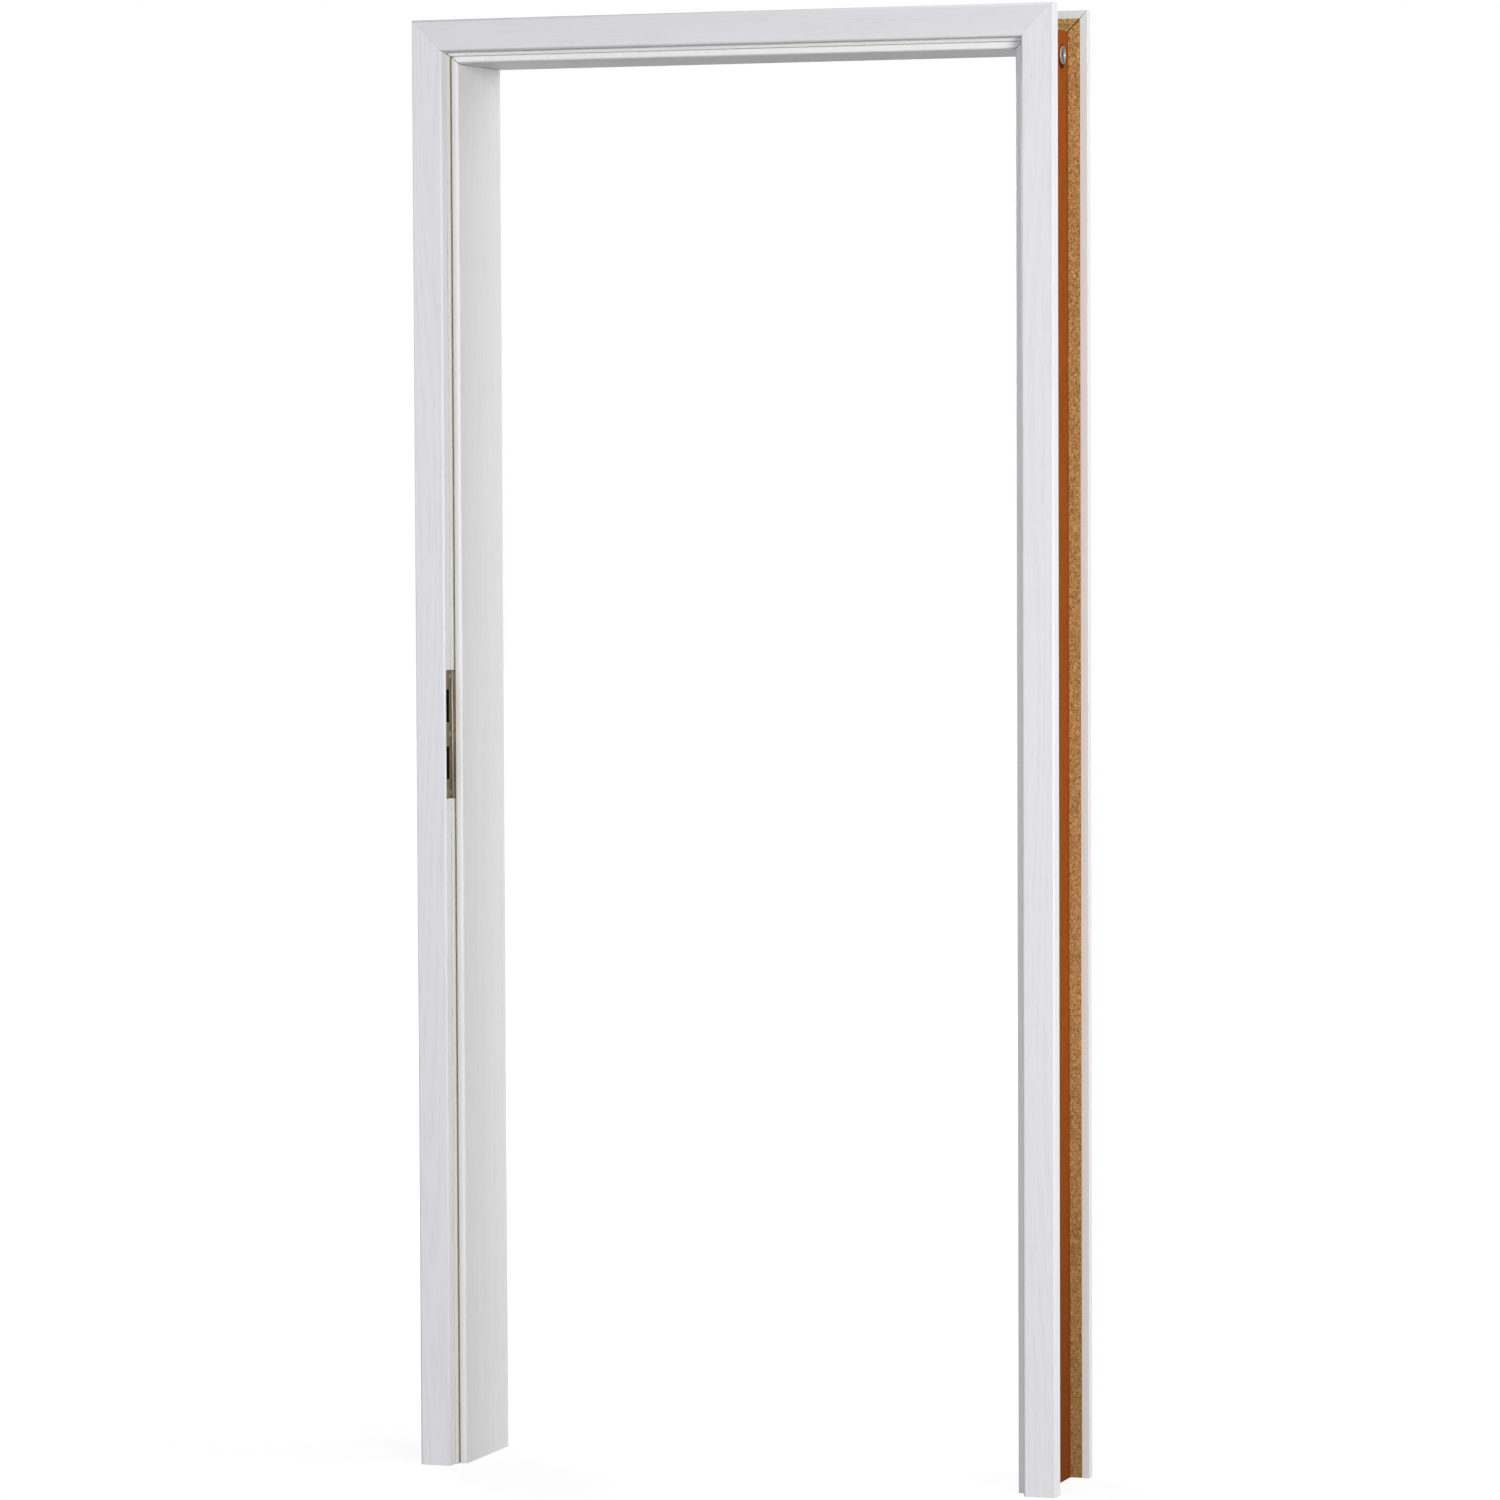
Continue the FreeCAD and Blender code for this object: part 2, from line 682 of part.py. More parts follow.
# Corner fittings
jamb_cams = [cam(station) for station in cam_stations]
header_cams = [mirrored_over_mitre(one) for one in jamb_cams]
bolts = [piece for station in cam_stations for piece in hinged_bolt(station)]
nodes["jamb_cams_latch_side"] = jamb_cams
nodes["jamb_cams_hinge_side"] = [mirrored_to_hinge_side(one) for one in jamb_cams]
nodes["header_cams_latch_side"] = header_cams
nodes["header_cams_hinge_side"] = [mirrored_to_hinge_side(one) for one in header_cams]
nodes["corner_bolts_latch_side"] = bolts
nodes["corner_bolts_hinge_side"] = [mirrored_to_hinge_side(piece) for piece in bolts]

# One file per node
os.makedirs("parts", exist_ok=True)
for node_name, solids in nodes.items():
    shape = solids[0] if len(solids) == 1 else Part.makeCompound(solids)
    shape.exportStep("parts/" + node_name + ".step")
    volume = sum(solid.Volume for solid in solids)
    print(node_name, len(solids), "solids", round(volume / 1000, 2), "cm3", "valid", shape.isValid())
print("size", outer_width, total_depth, outer_height)
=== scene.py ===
import json
import math
import bmesh
import bpy
from mathutils import Matrix, Vector

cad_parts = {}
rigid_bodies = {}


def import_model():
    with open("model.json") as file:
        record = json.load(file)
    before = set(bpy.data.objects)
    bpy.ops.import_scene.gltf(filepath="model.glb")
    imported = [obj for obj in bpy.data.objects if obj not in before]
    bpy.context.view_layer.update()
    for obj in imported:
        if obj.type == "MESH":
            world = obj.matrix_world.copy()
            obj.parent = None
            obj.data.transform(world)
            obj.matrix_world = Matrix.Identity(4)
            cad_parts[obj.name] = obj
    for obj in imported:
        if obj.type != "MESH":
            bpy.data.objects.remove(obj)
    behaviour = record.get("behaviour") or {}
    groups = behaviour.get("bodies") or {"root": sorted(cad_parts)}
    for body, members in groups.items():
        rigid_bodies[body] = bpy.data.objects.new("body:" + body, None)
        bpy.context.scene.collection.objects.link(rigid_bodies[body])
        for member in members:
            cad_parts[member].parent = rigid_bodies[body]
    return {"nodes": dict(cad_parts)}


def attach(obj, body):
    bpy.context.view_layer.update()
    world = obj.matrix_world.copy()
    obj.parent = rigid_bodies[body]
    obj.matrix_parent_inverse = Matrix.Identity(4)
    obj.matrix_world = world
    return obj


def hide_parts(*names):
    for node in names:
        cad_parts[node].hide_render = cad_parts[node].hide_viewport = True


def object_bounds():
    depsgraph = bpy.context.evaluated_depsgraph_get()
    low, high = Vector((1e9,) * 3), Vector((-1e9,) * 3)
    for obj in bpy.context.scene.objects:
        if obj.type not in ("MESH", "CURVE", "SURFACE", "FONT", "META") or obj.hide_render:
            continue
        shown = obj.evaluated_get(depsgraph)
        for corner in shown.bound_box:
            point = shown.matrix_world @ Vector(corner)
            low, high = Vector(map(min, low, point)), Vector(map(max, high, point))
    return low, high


for leftover in list(bpy.data.objects):
    bpy.data.objects.remove(leftover)
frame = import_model()
cad_low, cad_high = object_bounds()

# Lining boards: two jambs and a header of chipboard, mitred where they meet. White
# ash-grain foil covers the passage side and turns over the rear edge, and brown paper
# covers the wall side. They are cut from the frame's own solids, with arrises eased.
mm = 0.001
passage_way = {
    "latch_side": Vector((1, 0, 0)),
    "hinge_side": Vector((-1, 0, 0)),
    "header": Vector((0, 0, -1)),
}


def outer_corner(leg):
    """A corner of the frame's box that lies on the outer edge of one leg."""
    return cad_low if leg == "latch_side" else cad_high


def inset_of(point, leg):
    """How far a point lies inside the frame's outer edge, on one leg."""
    return (point - outer_corner(leg)).dot(passage_way[leg])


def node(tree, kind, inputs=None, **settings):
    """One shader node, with its settings made and its inputs set or linked."""
    made = tree.nodes.new(kind)
    for name, value in settings.items():
        setattr(made, name, value)
    for socket, value in (inputs or {}).items():
        if isinstance(value, bpy.types.NodeSocket):
            tree.links.new(value, made.inputs[socket])
        else:
            made.inputs[socket].default_value = value
    return made


def blended(tree, amount, first, second):
    """Colour that goes from the first to the second by an amount."""
    mix = node(tree, "ShaderNodeMix", {0: amount, 6: first, 7: second}, data_type="RGBA")
    return mix.outputs[2]


def spread(tree, value, low, high, to_low=0.0, to_high=1.0):
    """Value stretched from one range to another, and held at its ends."""
    inputs = {"Value": value, 1: low, 2: high, 3: to_low, 4: to_high}
    return node(tree, "ShaderNodeMapRange", inputs).outputs[0]


def sum_of(tree, operation, first, second=0.0):
    """Result of one sum on values, such as ADD or MAXIMUM."""
    return node(tree, "ShaderNodeMath", {0: first, 1: second}, operation=operation).outputs[0]


def times(tree, first, second):
    return sum_of(tree, "MULTIPLY", first, second)


def vector_sum(tree, operation, *vectors):
    """Outputs of one sum on vectors, such as SUBTRACT or LENGTH."""
    inputs = dict(enumerate(vectors))
    return node(tree, "ShaderNodeVectorMath", inputs, operation=operation).outputs


def scaled(tree, vector, factors):
    return vector_sum(tree, "MULTIPLY", vector, factors)[0]


def noise(tree, place, per_metre, detail=2.0):
    """Soft noise with so many waves to the metre along X, Y and Z."""
    inputs = {"Vector": scaled(tree, place, per_metre), "Scale": 1.0, "Detail": detail}
    return node(tree, "ShaderNodeTexNoise", inputs).outputs[0]


def height_over_floor(tree, place):
    return node(tree, "ShaderNodeSeparateXYZ", {0: place}).outputs["Z"]


def new_group(name, inputs, outputs):
    """Empty shader group with vector inputs and value outputs."""
    group = bpy.data.node_groups.new(name, "ShaderNodeTree")
    for socket in inputs:
        group.interface.new_socket(socket, in_out="INPUT", socket_type="NodeSocketVector")
    for socket in outputs:
        group.interface.new_socket(socket, in_out="OUTPUT", socket_type="NodeSocketFloat")
    return group


def placed(tree, group, vector):
    """A group set into a material, reading the piece's own coordinates."""
    return node(tree, "ShaderNodeGroup", {"Place": vector}, node_tree=group).outputs


# Ash grain printed and pressed into the foil: growth rings and long open pores along Z
rings_in_field = 210.0
ash_grain = new_group("ash_grain", ["Place"], ["Rings", "Pores"])
place = node(ash_grain, "NodeGroupInput").outputs["Place"]
ring_field = noise(ash_grain, place, per_metre=(9.0, 9.0, 0.35))
ring_wave = sum_of(ash_grain, "SINE", times(ash_grain, ring_field, rings_in_field))
rings = spread(ash_grain, ring_wave, -1.0, 1.0)
long_streaks = noise(ash_grain, place, per_metre=(720.0, 720.0, 24.0))
long_pores = spread(ash_grain, long_streaks, 0.50, 0.66)
fine_streaks = noise(ash_grain, place, per_metre=(2300.0, 2300.0, 110.0))
fine_pores = spread(ash_grain, fine_streaks, 0.52, 0.70)
open_pores = sum_of(ash_grain, "MAXIMUM", long_pores, fine_pores)
pores = times(ash_grain, open_pores, spread(ash_grain, rings, 0.0, 1.0, 0.35, 1.0))
node(ash_grain, "NodeGroupOutput", {"Rings": rings, "Pores": pores})


def cells(tree, place, per_metre):
    """Random cells, with so many to the metre along X, Y and Z."""
    inputs = {"Vector": scaled(tree, place, per_metre), "Scale": 1.0}
    return node(tree, "ShaderNodeTexVoronoi", inputs).outputs


def cell_tone(tree, found_cells):
    """Each cell's own random tone, from 0 to 1."""
    return node(tree, "ShaderNodeSeparateColor", {0: found_cells["Color"]}).outputs[0]


# Chipboard: pressed flakes of many tans, with darker bark specks and small hollows
chip_drift = 2.2 * mm
chip_flakes = new_group("chip_flakes", ["Place"], ["Shade", "Specks", "Height"])
place = node(chip_flakes, "NodeGroupInput").outputs["Place"]
drift_waves = {"Vector": place, "Scale": 700.0, "Detail": 1.0}
drift = node(chip_flakes, "ShaderNodeTexNoise", drift_waves).outputs["Color"]
drift_reach = (chip_drift, chip_drift, chip_drift)
drifted = vector_sum(chip_flakes, "MULTIPLY_ADD", drift, drift_reach, place)[0]
flakes = cells(chip_flakes, drifted, per_metre=(560.0, 620.0, 400.0))
crumbs = cells(chip_flakes, drifted, per_metre=(1500.0, 1400.0, 1150.0))
flake_tone = cell_tone(chip_flakes, flakes)
crumb_tone = cell_tone(chip_flakes, crumbs)
shade = times(chip_flakes, sum_of(chip_flakes, "ADD", flake_tone, crumb_tone), 0.5)
bark = spread(chip_flakes, flake_tone, 0.91, 0.93)
dust = spread(chip_flakes, crumb_tone, 0.86, 0.90)
specks = sum_of(chip_flakes, "MAXIMUM", bark, dust)
height = spread(chip_flakes, crumbs["Distance"], 0.0, 0.9, 1.0, 0.0)
node(chip_flakes, "NodeGroupOutput", {"Shade": shade, "Specks": specks, "Height": height})


def new_material(name):
    """Material with an empty tree, its shader and the piece's own coordinates."""
    made = bpy.data.materials.new(name)
    made.use_nodes = True
    tree = made.node_tree
    tree.nodes.clear()
    shader = node(tree, "ShaderNodeBsdfPrincipled")
    node(tree, "ShaderNodeOutputMaterial", {"Surface": shader.outputs[0]})
    place = node(tree, "ShaderNodeTexCoord").outputs["Object"]
    return made, tree, shader, place


def raised(tree, shader, height, distance, strength):
    """Relief from a height, laid on the shader's normal."""
    inputs = {"Height": height, "Distance": distance, "Strength": strength}
    bump = node(tree, "ShaderNodeBump", inputs)
    tree.links.new(bump.outputs[0], shader.inputs["Normal"])


ring_tone = (0.764, 0.763, 0.776, 1)
pore_tone = (0.66, 0.665, 0.69, 1)
pore_relief = 0.05 * mm


def ash_foil(name, grain_turn, dull, clear, grain_depth):
    """White ash foil whose grain runs up the piece, or along it when turned."""
    made, tree, shader, place = new_material(name)
    turned = node(tree, "ShaderNodeMapping", {"Vector": place, "Rotation": grain_turn}).outputs[0]
    grain = placed(tree, ash_grain, turned)
    cloud = spread(tree, noise(tree, turned, per_metre=(30.0, 30.0, 2.0)), 0.3, 0.7)
    plain = blended(tree, cloud, dull, clear)
    ringed = blended(tree, times(tree, grain["Rings"], 0.5 * grain_depth), plain, ring_tone)
    colour = blended(tree, times(tree, grain["Pores"], grain_depth), ringed, pore_tone)
    tree.links.new(colour, shader.inputs["Base Color"])
    roughness = spread(tree, grain["Pores"], 0.0, 1.0, 0.46, 0.62)
    tree.links.new(roughness, shader.inputs["Roughness"])
    raised(tree, shader, spread(tree, grain["Pores"], 0.0, 1.0, 1.0, 0.0), pore_relief, 0.6)
    return made


upright_grain = (0, 0, 0)
level_grain = (0, math.radians(90), 0)
grained_white = (0.806, 0.803, 0.816, 1), (0.825, 0.822, 0.832, 1), 0.40
# The header's foil is the same white in a darker copy, with painted shade
shaded_level_white = (0.742, 0.741, 0.752, 1), (0.761, 0.760, 0.769, 1), 0.40
foil_upright = ash_foil("ash_foil_upright", upright_grain, *grained_white)
foil_level = ash_foil("ash_foil_level_shaded", level_grain, *shaded_level_white)

# The stop and the band on the wall side are covered with a smoother foil; its whiter tone,
# bluer on the band, is painted light
lit_stop_white = (0.885, 0.895, 0.893, 1), (0.905, 0.914, 0.911, 1), 0.12
lit_band_white = (0.880, 0.925, 0.925, 1), (0.896, 0.940, 0.940, 1), 0.12
smooth_lit_foil = ash_foil("smooth_lit_foil", upright_grain, *lit_stop_white)
lit_band_foil = ash_foil("lit_band_foil", upright_grain, *lit_band_white)


def foil_for(leg):
    return foil_level if leg == "header" else foil_upright


# The bare wood and the paper turn darker towards the floor, from 620 mm down to 20 mm
floor_darkening_ends = 20 * mm, 620 * mm


def darkening_to_floor(tree, place):
    """How dark the bare wood and paper are near the floor, from 1 at the floor to 0."""
    return spread(tree, height_over_floor(tree, place), *floor_darkening_ends, 1.0, 0.0)


# Raw chipboard, which shows on the boards' edges and on the backs of the casings and trim
deep_tan, pale_tan = (0.42, 0.197, 0.051, 1), (0.98, 0.640, 0.270, 1)
lowest_tan, bark_brown = (0.28, 0.145, 0.055, 1), (0.12, 0.046, 0.013, 1)
chip_relief = 0.4 * mm
chipboard, tree, shader, place = new_material("raw_chipboard")
chips = placed(tree, chip_flakes, place)
tan = blended(tree, spread(tree, chips["Shade"], 0.2, 0.8), deep_tan, pale_tan)
# Darker towards the floor
darkened_low = blended(tree, times(tree, darkening_to_floor(tree, place), 0.5), tan, lowest_tan)
colour = blended(tree, times(tree, chips["Specks"], 0.75), darkened_low, bark_brown)
tree.links.new(colour, shader.inputs["Base Color"])
shader.inputs["Roughness"].default_value = 0.85
shader.inputs["Specular IOR Level"].default_value = 0.25
raised(tree, shader, chips["Height"], chip_relief, 0.8)

# Brown paper on the wall side, with a painted shadow of each jamb's rear cam, dark behind the cam
# and below it
deep_brown, pale_brown = (0.190, 0.042, 0.004, 1), (0.300, 0.076, 0.009, 1)
blotch_brown, lowest_brown = (0.345, 0.085, 0.010, 1), (0.12, 0.028, 0.003, 1)
cam_shadow_brown = (0.030, 0.008, 0.002, 1)
cam_shadow_middle = (0.0, 47.2 * mm, 1962.2 * mm)
cam_shadow_edge = 14.5 * mm, 16.5 * mm
paper_relief = 0.08 * mm
backing, tree, shader, place = new_material("brown_backing_paper")
fibres = noise(tree, place, per_metre=(420.0, 420.0, 12.0), detail=3.0)
blotches = noise(tree, place, per_metre=(360.0, 360.0, 210.0), detail=3.0)
fibred = blended(tree, spread(tree, fibres, 0.35, 0.65), deep_brown, pale_brown)
blotched = times(tree, spread(tree, blotches, 0.40, 0.60), 0.7)
mottled = blended(tree, blotched, fibred, blotch_brown)
# Darker towards the floor
darkened_low = blended(tree, times(tree, darkening_to_floor(tree, place), 0.7), mottled, lowest_brown)
# Painted shadow of each jamb's rear cam: a dark disc on the paper, measured across the board
from_cam_shadow = vector_sum(tree, "SUBTRACT", place, cam_shadow_middle)[0]
across_board = scaled(tree, from_cam_shadow, (0.0, 1.0, 1.0))
away = vector_sum(tree, "LENGTH", across_board)["Value"]
colour = blended(tree, spread(tree, away, *cam_shadow_edge, 0.92, 0.0), darkened_low, cam_shadow_brown)
tree.links.new(colour, shader.inputs["Base Color"])
tree.links.new(spread(tree, fibres, 0.3, 0.7, 0.80, 0.92), shader.inputs["Roughness"])
shader.inputs["Specular IOR Level"].default_value = 0.06
raised(tree, shader, fibres, paper_relief, 0.5)

# Glue in the mitres
dark_glue, pale_glue = (0.035, 0.022, 0.013, 1), (0.080, 0.055, 0.036, 1)
glue, tree, shader, place = new_material("mitre_glue")
smears = noise(tree, place, per_metre=(260.0, 260.0, 260.0), detail=3.0)
colour = blended(tree, spread(tree, smears, 0.35, 0.65), dark_glue, pale_glue)
tree.links.new(colour, shader.inputs["Base Color"])
shader.inputs["Roughness"].default_value = 0.6

# Painted shade in the insides of the cams' bores and the strike plate's pockets, of which the
# lower is paler
dark_pocket, pale_pocket = (0.003, 0.0015, 0.001, 1), (0.018, 0.006, 0.003, 1)
less_dark_pocket = (0.055, 0.015, 0.005, 1)
less_dark_ends = 1020 * mm, 1030 * mm
pocket_shade_paint, tree, shader, place = new_material("painted_pocket_shade")
chips = placed(tree, chip_flakes, place)
shade_tone = blended(tree, chips["Shade"], dark_pocket, pale_pocket)
less_dark_below = spread(tree, height_over_floor(tree, place), *less_dark_ends, 0.5, 0.0)
colour = blended(tree, less_dark_below, shade_tone, less_dark_pocket)
tree.links.new(colour, shader.inputs["Base Color"])
shader.inputs["Roughness"].default_value = 0.9
shader.inputs["Specular IOR Level"].default_value = 0.1
raised(tree, shader, chips["Height"], chip_relief, 0.8)

weld = 0.001 * mm
flat_angle = math.radians(0.2)
sharp_angle = math.radians(30)
square_enough = 0.999
mitre_slack = 0.001


def merged_copy(node_name):
    """A copy of a node's mesh in which corners at one spot are one."""
    shape = bmesh.new()
    shape.from_mesh(frame["nodes"][node_name].data)
    bmesh.ops.remove_doubles(shape, verts=shape.verts, dist=weld)
    return shape


def join_flats(shape):
    """Join the triangles of each flat face."""
    bmesh.ops.dissolve_limit(
        shape, angle_limit=flat_angle, verts=shape.verts, edges=shape.edges, delimit={"NORMAL"}
    )


def is_square(face):
    """Whether a face looks straight along one of the frame's axes."""
    return max(abs(part) for part in face.normal) > square_enough


def on_mitre(face):
    """Whether a face lies in the plane of a mitre."""
    slope = abs(abs(face.normal.x) - abs(face.normal.z))
    return slope < mitre_slack and abs(face.normal.y) < mitre_slack


def sharp_edges(shape, is_wanted):
    """Sharp edges whose own faces pass a test on their material numbers."""
    found = []
    for edge in shape.edges:
        kinds = {face.material_index for face in edge.link_faces}
        if edge.calc_face_angle(0) > sharp_angle and is_wanted(kinds):
            found.append(edge)
    return found


def ease(shape, edges, width, segments=2, filler=-1):
    """Take edges off by a width, in their faces' own material or in a filler."""
    bmesh.ops.bevel(
        shape, geom=edges, offset=width,
        affect="EDGES", segments=segments, profile=0.5, material=filler,
    )


def hold_inside(shape, node_name):
    """Bring every corner back inside the node's own box."""
    corners = [vert.co for vert in frame["nodes"][node_name].data.vertices]
    for axis in range(3):
        least = min(corner[axis] for corner in corners)
        most = max(corner[axis] for corner in corners)
        for vert in shape.verts:
            vert.co[axis] = min(max(vert.co[axis], least), most)


def new_piece(name, shape, materials):
    """Object made of a finished shape, with its materials in order."""
    mesh = bpy.data.meshes.new(name)
    shape.to_mesh(mesh)
    shape.free()
    for material in materials:
        mesh.materials.append(material)
    piece = bpy.data.objects.new(name, mesh)
    bpy.context.scene.collection.objects.link(piece)
    return piece


# Zones of a board are measured inward from the frame's outer edge, as insets, and back
# from the frame's front, as depths
strike_middle = 1031 * mm
pocket_reach = 95 * mm
pocket_insets = 18 * mm, 44 * mm
pocket_depths = 3 * mm, 25 * mm


def between(value, ends):
    return ends[0] < value < ends[1]


def in_strike_pocket(inset, depth, height):
    """Whether a point is inside the latch-side casing, where the strike plate's slots go in."""
    beside = between(inset, pocket_insets) and between(depth, pocket_depths)
    return beside and abs(height - strike_middle) < pocket_reach


# Numbers of what covers a face, in the order of a board's materials
FOIL, CHIPS, PAPER, GLUE, POCKET, SMOOTH, BAND = range(7)
foil_arris = 0.25 * mm
tight_joint = 0.1 * mm, -1
open_joint = 0.4 * mm, GLUE
raw_joint = 0.9 * mm, GLUE


def dressed_board(node_name, leg, body, covers, joined_covers, foil_joint, return_line=None):
    """Board cut from its solid: faces sorted by what covers them, foil and mitre edges eased."""
    board = merged_copy(node_name)
    join_flats(board)
    if return_line is not None:
        everything = board.verts[:] + board.edges[:] + board.faces[:]
        cut_at = outer_corner(leg) + passage_way[leg] * return_line
        bmesh.ops.bisect_plane(board, geom=everything, plane_co=cut_at, plane_no=passage_way[leg])
    for face in board.faces:
        centre = face.calc_center_median()
        inset, depth = inset_of(centre, leg), centre.y - cad_low.y
        inward, rearward = face.normal.dot(passage_way[leg]), face.normal.y
        # Faces in the strike plate's pocket take painted shade
        if leg == "latch_side" and in_strike_pocket(inset, depth, centre.z):
            face.material_index = POCKET
        elif on_mitre(face):
            face.material_index = GLUE
        else:
            face.material_index = covers(inset, depth, inward, rearward)

    def at_foil_mitre(kinds):
        return GLUE in kinds and kinds & joined_covers

    def at_raw_mitre(kinds):
        return GLUE in kinds and kinds & {CHIPS, PAPER}

    def at_foil_edge(kinds):
        return kinds & {FOIL, SMOOTH, BAND} and not at_foil_mitre(kinds)

    ease(board, sharp_edges(board, at_foil_edge), foil_arris)
    for at_mitre, (opening, filler) in ((at_foil_mitre, foil_joint), (at_raw_mitre, raw_joint)):
        ease(board, sharp_edges(board, at_mitre), opening, segments=1, filler=filler)
    hold_inside(board, node_name)
    for face in board.faces:
        face.smooth = not is_square(face) and not on_mitre(face)
    materials = foil_for(leg), chipboard, backing, glue, pocket_shade_paint, smooth_lit_foil, lit_band_foil
    piece = new_piece("foiled_" + node_name, board, materials)
    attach(piece, body)
    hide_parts(node_name)


# How much of a direction a face's normal has when the face leans, looks or faces that way
leaning, looking, facing = 0.05, 0.5, 0.9
lining_back = 28.6 * mm
seal_zone_end = 49.5 * mm
foil_turn_in = 52 * mm
reveal_line = 57 * mm
cam_stations = 52.5 * mm, 144.3 * mm
cam_bore = 15 * mm
cam_hole = lining_back, 43 * mm


def lining_covers(inset, depth, inward, rearward):
    """Foil on stop, reveal and rear edge, paper behind, painted shade in cam bores, else
    chipboard.
    """
    if rearward < -facing and inset > seal_zone_end:
        return SMOOTH
    if inward > leaning and inset > reveal_line:
        return FOIL
    if rearward > facing and inset > foil_turn_in:
        return FOIL
    if inward < -facing and inset < lining_back:
        return PAPER
    # Faces in the cams' bores take painted shade
    near_cam = min(abs(depth - station) for station in cam_stations) < cam_bore
    if near_cam and between(inset, cam_hole):
        return POCKET
    return CHIPS


for leg in passage_way:
    dressed_board("lining_" + leg, leg, "frame", lining_covers, {FOIL, SMOOTH}, open_joint)

# Rebated front casings: foil-wrapped chipboard, glued into the lining's front edge.
# The foil runs round the front and both sides, and a short way on to the back.
# Flat wooden keys in the mitres pull the corners together.
casing_front_zone = 4 * mm
casing_outer_zone = 2 * mm
casing_inner_zone = 44.9 * mm
foil_return = 12 * mm


def front_casing_covers(inset, depth, inward, rearward):
    """Foil on the front, on both sides and a little way round the back, else chipboard."""
    if depth < casing_front_zone and rearward < -leaning:
        return FOIL
    if inward > looking and inset > casing_inner_zone:
        return FOIL
    if inward < -leaning and inset < casing_outer_zone:
        return FOIL
    if rearward > leaning and inset < foil_return:
        return FOIL
    return CHIPS


for leg in passage_way:
    casing = "front_casing_" + leg
    dressed_board(casing, leg, "frame", front_casing_covers, {FOIL}, tight_joint, foil_return)

deep_beech, pale_beech = (0.50, 0.29, 0.14, 1), (0.68, 0.47, 0.27, 1)
beech, tree, shader, place = new_material("beech_key")
streaks = noise(tree, place, per_metre=(900.0, 900.0, 90.0), detail=3.0)
colour = blended(tree, spread(tree, streaks, 0.3, 0.7), deep_beech, pale_beech)
tree.links.new(colour, shader.inputs["Base Color"])
shader.inputs["Roughness"].default_value = 0.7


def coat(material, *node_names):
    """Give a material to nodes that keep the frame's own mesh."""
    for name in node_names:
        mesh = frame["nodes"][name].data
        mesh.materials.clear()
        mesh.materials.append(material)


coat(beech, "front_mitre_keys")

# Strike plate: pressed steel with a matt nickel coat, bent round the corner of the
# latch-side rebate and let in. Its front edge is turned in a little so that the latch
# runs up on it, and three countersunk screws hold it.
metal_arris = 0.3 * mm
scuff_relief = 0.02 * mm


def tone_spots(tree, place, per_metre):
    """Fine mottling of a metal coat or of rubber, from 0 to 1."""
    spots = noise(tree, place, (per_metre, per_metre, per_metre), detail=4.0)
    return spread(tree, spots, 0.35, 0.65)


def coated_metal(name, light, dark, smoothest, roughest, spots_per_metre):
    """Metal with a mottled coat and fine scuffs."""
    made, tree, shader, place = new_material(name)
    spots = tone_spots(tree, place, spots_per_metre)
    tree.links.new(blended(tree, spots, light, dark), shader.inputs["Base Color"])
    shader.inputs["Metallic"].default_value = 1.0
    scuffs = noise(tree, place, per_metre=(3000.0, 3000.0, 160.0))
    roughness = spread(tree, scuffs, 0.3, 0.7, smoothest, roughest)
    tree.links.new(roughness, shader.inputs["Roughness"])
    raised(tree, shader, scuffs, scuff_relief, 0.35)
    return made


def dressed_fitting(node_name, slot_name, *metals, is_hollow=None):
    """Metal fitting cut from its solid, with sharp edges eased, hollows in the second metal."""
    fitting = merged_copy(node_name)
    join_flats(fitting)
    ease(fitting, sharp_edges(fitting, lambda kinds: True), metal_arris)
    for face in fitting.faces:
        face.smooth = not is_square(face)
        if is_hollow and is_hollow(face.calc_center_median()):
            face.material_index = 1
    piece = new_piece("eased_" + node_name, fitting, metals)
    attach(piece, "frame")
    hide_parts(node_name)


nickel_tones = (0.215, 0.184, 0.131, 1), (0.148, 0.128, 0.091, 1)
matt_nickel = coated_metal("matt_nickel", *nickel_tones, 0.34, 0.50, 700.0)
dressed_fitting("strike_plate", "strike_steel", matt_nickel)
zinc_tones = (0.66, 0.65, 0.60, 1), (0.50, 0.48, 0.42, 1)
bright_zinc = coated_metal("bright_zinc", *zinc_tones, 0.25, 0.42, 900.0)
coat(bright_zinc, "strike_plate_screws")

# Hinge receivers: zinc-plated steel blocks in the hinge-side rebate, each with two
# sockets for a hinge's pins and a grub screw between them. Two wood screws hold each.
plating_tones = (0.48, 0.48, 0.46, 1), (0.34, 0.34, 0.32, 1)
plated_steel = coated_metal("plated_steel", *plating_tones, 0.28, 0.45, 500.0)
for level in ("upper", "lower"):
    dressed_fitting("hinge_receiver_" + level, "receiver_steel", plated_steel)
coat(bright_zinc, "hinge_receiver_screws", "hinge_clamp_screws")

# Corner cams: die-cast zinc discs in the backs of the boards, turned tight with a
# hexagon key so that they draw the mitres shut. A hinged steel bolt joins the two
# discs of a pair through the mitre.
rim_tones = (0.58, 0.55, 0.49, 1), (0.42, 0.39, 0.34, 1)
# The dish and the disc's flank take a darker, bluer zinc: partly the dish's own blue-grey tone,
# partly painted shade in the hollow and on the flank
dish_tones_and_shade = (0.38, 0.45, 0.46, 1), (0.20, 0.25, 0.26, 1)
cast_zinc = coated_metal("cast_zinc", *rim_tones, 0.28, 0.45, 420.0)
dish_zinc_and_shade = coated_metal("dish_zinc_and_shade", *dish_tones_and_shade, 0.25, 0.40, 420.0)
dish_line = 27.3 * mm


